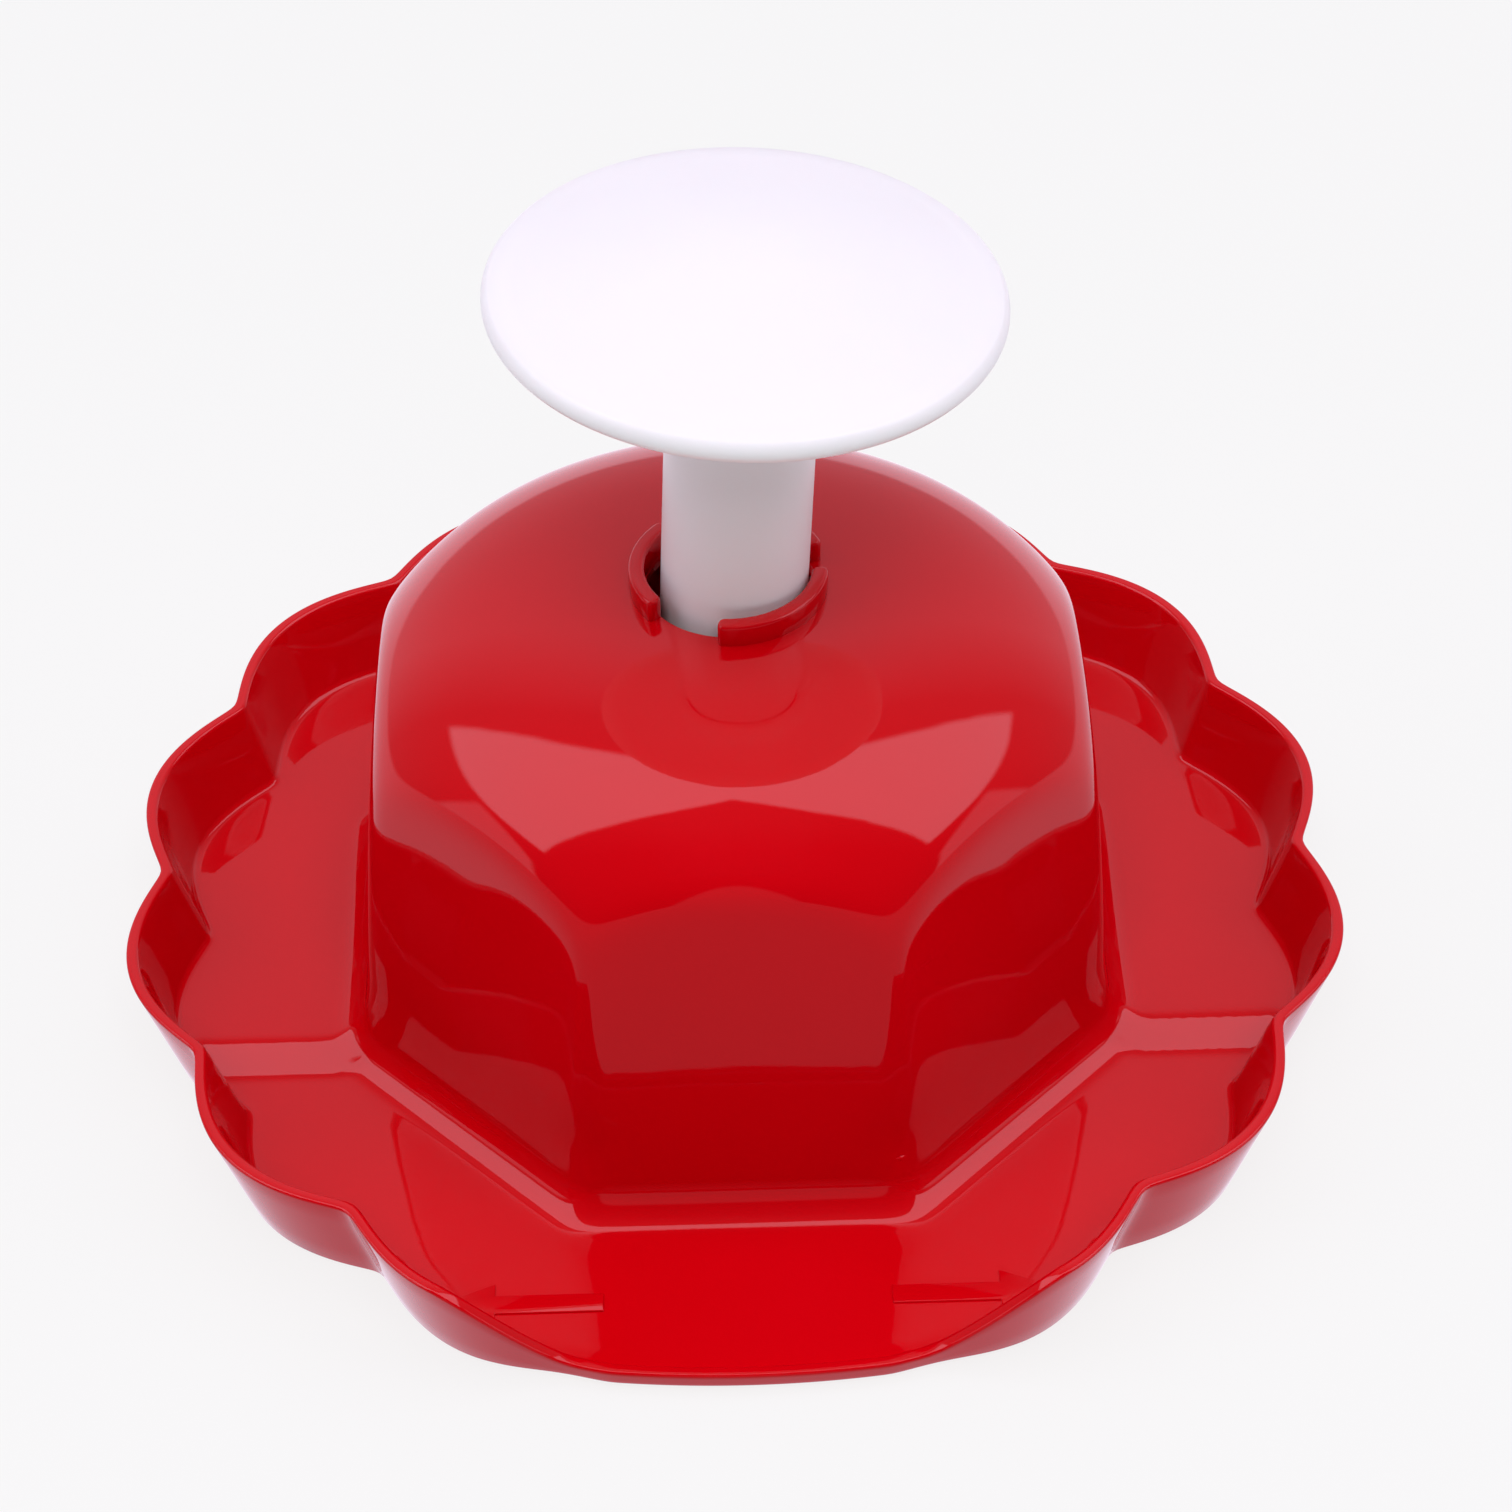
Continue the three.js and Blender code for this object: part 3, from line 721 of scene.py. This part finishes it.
def build_housing():
    finish_piece(housing_shell(), RED, "housing", "red_plastic", "housing")
    for index in range(LUGS):
        finish_piece(bayonet_tab(index), RED, "housing", "red_plastic")
    for index, (start, end) in enumerate(COLLAR_LIPS, 1):
        finish_piece(collar_lip(index, start, end), RED, "housing", "red_plastic")
    for name, side in (("arrow_left", -1), ("arrow_right", 1)):
        finish_piece(arrow(name, side), RED, "housing", "red_plastic")


# ---------- Plunger ----------


def plunger_frame():
    place_at = Matrix.Translation(Vector((PLUNGER_PLAY, 0, COLLAR_TOP)) * MM)
    return place_at @ Matrix.Rotation(PLUNGER_LEAN, 4, "Y")


def plunger_head():
    socket = STEM_RADIUS + GAP
    boss = socket + SOCKET_WALL
    ceiling = HEAD_RIM + GAP
    rounding = HEAD_EDGE / 2
    crown_end = HEAD_RADIUS - rounding * 1.6
    crown = []
    for radius in np.linspace(0, crown_end, 24):
        rise = (HEAD_CROWN - rounding) * (1 - (radius / crown_end) ** 2)
        crown.append((radius, HEAD_RIM + rounding + rise))
    edge = []
    for turn in np.linspace(math.radians(62), math.radians(-90), 14):
        radius = HEAD_RADIUS - rounding * (1 - math.cos(turn))
        edge.append((radius, HEAD_RIM + rounding * math.sin(turn)))
    under = [
        (HEAD_RADIUS - rounding, HEAD_RIM - rounding, 0),
        (HEAD_RADIUS - HEAD_LIP, HEAD_RIM - rounding, 0.5),
        (HEAD_RADIUS * 0.7, HEAD_RIM + HEAD_CROWN * 0.51 - HEAD_SHELL, 6),
        (boss, HEAD_RIM + HEAD_CROWN * 0.85 - HEAD_SHELL, 1.2),
        (boss, ceiling - SOCKET_LENGTH, 0.5),
        (socket, ceiling - SOCKET_LENGTH, 0.4),
        (socket, ceiling, 0.3),
        (0, ceiling, 0),
    ]
    return turned("plunger_head_shell", crown + edge + fillet_profile(under)[1:], 192)


def plunger_stem():
    hole = SCREW_SHANK + GAP
    tip = SCREW_HEAD_TOP + SCREW_LENGTH + GAP
    well = STEM_BOTTOM + STEM_BOSS + hole
    profile = [
        (0, tip, 0),
        (hole, tip, 0.2),
        (hole, STEM_BOTTOM, 0.3),
        (STEM_RADIUS, STEM_BOTTOM, 0.7),
        (STEM_RADIUS, HEAD_RIM, 0.5),
        (STEM_RADIUS - STEM_WALL, HEAD_RIM, 0.5),
        (STEM_RADIUS - STEM_WALL, well, 1.5),
        (0, well, 0),
    ]
    return turned("plunger_stem_tube", fillet_profile(profile), 128)


def pusher_plate():
    hole = SCREW_SHANK + GAP
    recess = WASHER_RADIUS + GAP
    rib_bottom = PUSHER_BOTTOM - RIB_DEPTH
    plate_top = PUSHER_BOTTOM + PUSHER_PLATE
    profile = [
        (hole, RECESS_TOP, 0),
        (recess, RECESS_TOP, 0.3),
        (recess, rib_bottom, 0.4),
        (PUSHER_BOSS, rib_bottom, 0.5),
        (PUSHER_BOSS, PUSHER_BOTTOM, 0.6),
        (PUSHER_RADIUS, PUSHER_BOTTOM, 0.7),
        (PUSHER_RADIUS, plate_top, 0.7),
        (PUSHER_HUB, plate_top, 1.0),
        (PUSHER_HUB - PUSHER_HUB_RISE, PUSHER_HUB_TOP, 0.5),
        (hole, PUSHER_HUB_TOP, 0.3),
    ]
    parts = [turned("pusher_disc", fillet_profile(profile), 160, closed=True)]
    reach = PUSHER_RADIUS - RIB_MARGIN
    side_ribs = int(reach // WIRE_PITCH)
    for rib in range(-side_ribs, side_ribs + 1):
        x = rib * WIRE_PITCH
        end = math.sqrt(reach**2 - x**2)
        start = math.sqrt((PUSHER_BOSS - 0.5) ** 2 - x**2) if abs(x) < PUSHER_BOSS - 0.5 else None
        spans = [(-end, end)] if start is None else [(-end, -start), (start, end)]
        for low, high in spans:
            outline = [
                (x - RIB_WIDTH / 2, low),
                (x + RIB_WIDTH / 2, low),
                (x + RIB_WIDTH / 2, high),
                (x - RIB_WIDTH / 2, high),
            ]
            bar = prism("rib", outline, rib_bottom, PUSHER_BOTTOM + RIB_SUNK)
            soften(bar, 0.5, 4)
            parts.append(bar)
    return join("pusher_plate_ribbed", parts)


def screw(name, profile, recess_bottom, recess_top, recess_size):
    """A turned screw with a cross recess in its head."""
    body = turned(name, fillet_profile(profile, 4), 64)
    wide, narrow = recess_size
    bars = []
    for width, depth in ((wide, narrow), (narrow, wide)):
        outline = [(-width, -depth), (width, -depth), (width, depth), (-width, depth)]
        bars.append(prism("recess", outline, recess_bottom, recess_top))
    cut_away(body, bars)
    soften(body, 0.06, 2, 40)
    return body


def pusher_screw():
    bottom = SCREW_HEAD_TOP - SCREW_HEAD
    profile = [
        (0, bottom, 0),
        (SCREW_HEAD_RADIUS, bottom, 1.1),
        (SCREW_HEAD_RADIUS, SCREW_HEAD_TOP, 0.2),
        (SCREW_SHANK, SCREW_HEAD_TOP, 0.2),
    ]
    tip = SCREW_HEAD_TOP + SCREW_LENGTH
    profile += thread(SCREW_SHANK, SCREW_HEAD_TOP + 3.4, tip - 1, 1.0, 0.22)
    profile.append((0, tip, 0))
    return screw("pusher_screw_pan_head", profile, bottom - 1, bottom + 1.1, (1.9, 0.45))


def thread(radius, start, end, pitch, depth):
    """Ridges of a screw thread, as a turned profile."""
    points = [(radius, start - pitch / 2, 0)]
    count = int(abs(end - start) / pitch)
    way = 1 if end > start else -1
    for turn in range(count):
        level = start + way * turn * pitch
        points.append((radius - depth, level, 0))
        points.append((radius, level + way * pitch / 2, 0))
    points.append((radius - depth, start + way * count * pitch, 0))
    return points


def pusher_washer():
    bottom = SCREW_HEAD_TOP + GAP
    profile = [
        (SCREW_SHANK + GAP, bottom, 0),
        (WASHER_RADIUS, bottom, 0.15),
        (WASHER_RADIUS, bottom + WASHER, 0.15),
        (SCREW_SHANK + GAP, bottom + WASHER, 0.15),
        (SCREW_SHANK + GAP, bottom, 0),
    ]
    return turned("pusher_washer_flat", fillet_profile(profile)[:-1], 64, closed=True)


def build_plunger():
    leaning = plunger_frame()
    pieces = (
        (plunger_head, WHITE, "plunger", "white_plastic", "plunger_head"),
        (plunger_stem, WHITE, "plunger", "white_plastic", "plunger_stem"),
        (pusher_screw, STEEL, "plunger", "stainless_steel", "pusher_screw"),
        (pusher_plate, WHITE, "pusher", "white_plastic", "pusher_plate"),
        (pusher_washer, STEEL, "pusher", "stainless_steel", "pusher_washer"),
    )
    for make, material, body, slot_name, node in pieces:
        piece = make()
        piece.data.transform(leaning)
        finish_piece(piece, material, body, slot_name, node)


# ---------- Cutter ----------


def around(angle):
    return SCREW_CIRCLE * math.cos(angle), SCREW_CIRCLE * math.sin(angle)


def moved(piece, x, y):
    piece.data.transform(Matrix.Translation(Vector((x, y, 0)) * MM))
    return piece


def cutter_ring():
    low, high = RING_LOW[2], RING_HIGH[2]
    profile = [
        (RING_INNER, low, 0),
        (RING_OUTER, low, 0.5),
        (RING_OUTER, high, 0.25),
        (RING_INNER, high, 0.25),
        (RING_INNER, low, 0.5),
        (RING_OUTER, low, 0),
    ]
    ring = turned("cutter_ring_frame", fillet_profile(profile, 4)[1:-1], 192, closed=True)
    slots = []
    for x in WIRE_PLACES:
        half = WIRE_RADIUS + GAP
        reach = math.sqrt((WIRE_END + GAP) ** 2 - x**2)
        outline = [(x - half, -reach), (x + half, -reach), (x + half, reach), (x - half, reach)]
        slots.append(prism("slot", outline, WIRE_LEVEL - half, high + 1))
    holes = []
    for angle in SCREW_TURNS:
        bottom, radius = high - CLAMP_SCREW_DEPTH - GAP, CLAMP_SCREW + GAP
        hole = [(0, bottom), (radius, bottom), (radius, high + 1), (0, high + 1)]
        holes.append(moved(turned("hole", hole, 32), *around(angle)))
    cut_away(ring, slots + holes)
    soften(ring, 0.1, 2)
    lugs = []
    for lug in range(LUGS):
        middle = LUG_ANGLE + 360 * lug / LUGS
        span = (middle - LUG_HALF, middle + LUG_HALF)
        outline = arc_outline(RING_OUTER - LUG_SUNK, RING_OUTER + LUG_REACH, *span)
        block = prism("lug", outline, low + LUG_UP, low + LUG_UP + LUG_HEIGHT)
        soften(block, 0.3, 3)
        lugs.append(block)
    return join("cutter_ring_frame", [ring, *lugs])


def clamp_ring():
    low, high = CLAMP_LOW[2], CLAMP_HIGH[2]
    profile = [
        (RING_INNER, low, 0),
        (RING_OUTER, low, 0.2),
        (RING_OUTER, high, 0.5),
        (RING_INNER, high, 0.5),
        (RING_INNER, low, 0.2),
        (RING_OUTER, low, 0),
    ]
    ring = turned("wire_clamp_ring_top", fillet_profile(profile, 4)[1:-1], 192, closed=True)
    tools = []
    for angle in SCREW_TURNS:
        seat = high - CLAMP_SCREW_HEAD - 2 * GAP / 3
        narrow, wide = CLAMP_SCREW + GAP, CLAMP_SCREW_RADIUS + CLAMP_SCREW_GAP
        hole = [(0, low - 1), (narrow, low - 1), (narrow, seat)]
        hole += [(wide, seat), (wide, high + 1), (0, high + 1)]
        tools.append(moved(turned("hole", hole, 32), *around(angle)))
    cut_away(ring, tools)
    soften(ring, 0.1, 2)
    return ring


def clamp_screw(index, angle):
    top = CLAMP_HIGH[2] - CLAMP_SCREW_SINK
    seat = top - CLAMP_SCREW_HEAD + CLAMP_SCREW_GAP
    tip = RING_HIGH[2] - CLAMP_SCREW_DEPTH
    profile = [(0, tip, 0)]
    profile += reversed(thread(CLAMP_SCREW, seat - 1.0, tip + 0.2, 0.5, 0.12))
    profile += [
        (CLAMP_SCREW, seat, 0),
        (CLAMP_SCREW_RADIUS, seat, 0.1),
        (CLAMP_SCREW_RADIUS, top, 0.3),
        (0, top, 0),
    ]
    piece = screw(f"clamp_screw_{index}_cross_head", profile, top - 0.55, top + 1, (0.85, 0.2))
    return moved(piece, *around(angle))


def wire(index, x):
    half = math.sqrt(WIRE_END**2 - x**2)
    profile = [(0, -half, 0), (WIRE_RADIUS, -half, 0.12), (WIRE_RADIUS, half, 0.12), (0, half, 0)]
    strand = turned(f"wire_{index}_drawn", fillet_profile(profile), 32)
    strand.data.transform(Matrix.Rotation(math.radians(90), 4, "X"))
    strand.data.transform(Matrix.Translation(Vector((x, 0, WIRE_LEVEL)) * MM))
    return strand


def build_cutter():
    finish_piece(cutter_ring(), WHITE, "cutter", "white_plastic", "cutter_ring")
    finish_piece(clamp_ring(), WHITE, "cutter", "white_plastic", "wire_clamp_ring")
    for index, x in enumerate(WIRE_PLACES, 1):
        finish_piece(wire(index, x), STEEL, "cutter", "stainless_steel", f"wire_{index}")
    for index, angle in enumerate(SCREW_TURNS, 1):
        piece = clamp_screw(index, angle)
        finish_piece(piece, STEEL, "cutter", "stainless_steel", f"clamp_screw_{index}")


# ---------- Camera and studio ----------


def build_camera():
    azimuth, elevation, roll = (math.radians(angle) for angle in CAMERA_TURN)
    level = math.cos(elevation)
    back = Vector((math.sin(azimuth) * level, -math.cos(azimuth) * level, math.sin(elevation)))
    right = Vector((math.cos(azimuth), math.sin(azimuth), 0))
    up = back.cross(right)
    tilted_right = right * math.cos(roll) + up * math.sin(roll)
    tilted_up = up * math.cos(roll) - right * math.sin(roll)
    turn = Matrix((tilted_right, tilted_up, back)).transposed().to_4x4()
    data = bpy.data.cameras.new("camera")
    data.sensor_width = CAMERA_SENSOR
    data.lens = CAMERA_LENS
    camera = bpy.data.objects.new("camera", data)
    place = Vector(CAMERA_AIM) * MM + back * CAMERA_DISTANCE
    camera.matrix_world = Matrix.Translation(place) @ turn
    bpy.context.scene.collection.objects.link(camera)
    bpy.context.scene.camera = camera


class Sky:
    """Brightness of the studio by direction, as soft-edged zones laid over each other."""

    def __init__(self):
        self.world = bpy.data.worlds.new("studio")
        self.world.use_nodes = True
        self.nodes = self.world.node_tree.nodes
        self.links = self.world.node_tree.links
        self.background = self.nodes["Background"]
        direction = self.nodes.new("ShaderNodeTexCoord").outputs["Generated"]
        split = self.nodes.new("ShaderNodeSeparateXYZ")
        self.links.new(direction, split.inputs["Vector"])
        self.x, self.y, self.z = (split.outputs[axis] for axis in "XYZ")

    def math(self, operation, *values):
        node = self.nodes.new("ShaderNodeMath")
        node.operation = operation
        for socket, value in zip(node.inputs, values):
            if isinstance(value, (int, float)):
                socket.default_value = value
            else:
                self.links.new(value, socket)
        return node.outputs["Value"]

    def add(self, a, b):
        return self.math("ADD", a, b)

    def times(self, a, b):
        return self.math("MULTIPLY", a, b)

    def above(self, value, level, softness):
        """0 below a level and 1 above it."""
        node = self.nodes.new("ShaderNodeMapRange")
        node.interpolation_type = "SMOOTHSTEP"
        node.inputs["From Min"].default_value = level - softness
        node.inputs["From Max"].default_value = level + softness
        self.links.new(value, node.inputs["Value"])
        return node.outputs["Result"]

    def below(self, value, level, softness):
        return self.math("SUBTRACT", 1.0, self.above(value, level, softness))

    def fade(self, value, stops):
        """A brightness that follows a value through (value, brightness) stops."""
        ramp = self.nodes.new("ShaderNodeValToRGB")
        elements = ramp.color_ramp.elements
        for element, (position, level) in zip(elements, (stops[0], stops[-1])):
            element.position = (position + 1) / 2
            element.color = (level, level, level, 1)
        for position, level in stops[1:-1]:
            element = elements.new((position + 1) / 2)
            element.color = (level, level, level, 1)
        self.links.new(self.add(self.times(value, 0.5), 0.5), ramp.inputs["Fac"])
        return ramp.outputs["Color"]

    def mix(self, share, low, high):
        """The low brightness where the share is 0 and the high one where it is 1."""
        return self.add(self.times(self.math("SUBTRACT", 1.0, share), low), self.times(share, high))


def build_sky():
    sky = Sky()
    side = sky.math("ABSOLUTE", sky.x)

    # A wall behind and at the sides, with two pale side screens low down on it
    wall = sky.fade(sky.y, WALL_LIGHT)
    sideways = sky.above(side, *SCREEN_SIDE)
    between = sky.times(sky.above(sky.y, *SCREEN_FRONT), sky.below(sky.y, *SCREEN_BACK))
    level = sky.mix(sky.times(sideways, between), wall, SCREEN_LIGHT)

    # The table, and a paler round patch in front of the object
    table = sky.fade(sky.y, TABLE_LIGHT)
    level = sky.mix(sky.below(sky.z, *HORIZON), level, table)
    across = sky.times(sky.x, PATCH_NARROWING)
    off_middle = sky.math("SQRT", sky.add(sky.times(across, across), sky.times(sky.z, sky.z)))
    patch = sky.times(sky.below(off_middle, *PATCH_EDGE), sky.below(sky.y, *PATCH_BACK))
    level = sky.mix(patch, level, PATCH_LIGHT)

    # The arch of light from left to right over the object, wider at its two feet
    arch_front = sky.above(sky.add(sky.y, sky.times(side, ARCH_FRONT_SPREAD)), *ARCH_FRONT)
    arch_back = sky.below(sky.add(sky.y, sky.times(side, -ARCH_BACK_SPREAD)), *ARCH_BACK)
    arch = sky.times(sky.times(arch_front, arch_back), sky.above(sky.z, *ARCH_FOOT))
    level = sky.mix(arch, level, ARCH_LIGHT)

    sky.background.inputs["Color"].default_value = (*TINT, 1)
    sky.links.new(level, sky.background.inputs["Strength"])
    bpy.context.scene.world = sky.world


def softbox(name, size, location, target, power):
    """A fill light that brightens surfaces without being mirrored in them."""
    light = bpy.data.lights.new(name, "AREA")
    light.shape = "RECTANGLE"
    light.size, light.size_y = size
    light.energy = power
    lamp = bpy.data.objects.new(name, light)
    lamp.location = location
    lamp.rotation_euler = (Vector(target) - Vector(location)).to_track_quat("-Z", "Y").to_euler()
    lamp.visible_glossy = False
    bpy.context.scene.collection.objects.link(lamp)


def build_floor():
    corners = [(x, y, FLOOR_DROP) for x, y in FLOOR_CORNERS]
    mesh = bpy.data.meshes.new("studio_floor")
    mesh.from_pydata(corners, [], [(0, 1, 2, 3)])
    floor = bpy.data.objects.new("studio_floor", mesh)
    bpy.context.scene.collection.objects.link(floor)
    floor.visible_glossy = False
    shader = Shader("studio_floor")
    shader.set(Roughness=0.9, Specular_IOR_Level=0.0)
    shader.set(Emission_Color=(1, 1, 1, 1), Emission_Strength=FLOOR_GLOW)
    tones = [(tone, tone, tone) for tone in FLOOR_TONES]
    shader.link(shader.ramp(shader.noise(3), *tones), "Base Color")
    mesh.materials.append(shader.material)


def build_studio():
    view = bpy.context.scene.view_settings
    view.view_transform = "Standard"
    view.look = "None"
    build_sky()
    build_floor()
    softbox("fill_front", FILL_SIZE, FILL_PLACE, FILL_TARGET, FILL_POWER)


build_housing()
build_plunger()
build_cutter()
build_camera()
build_studio()
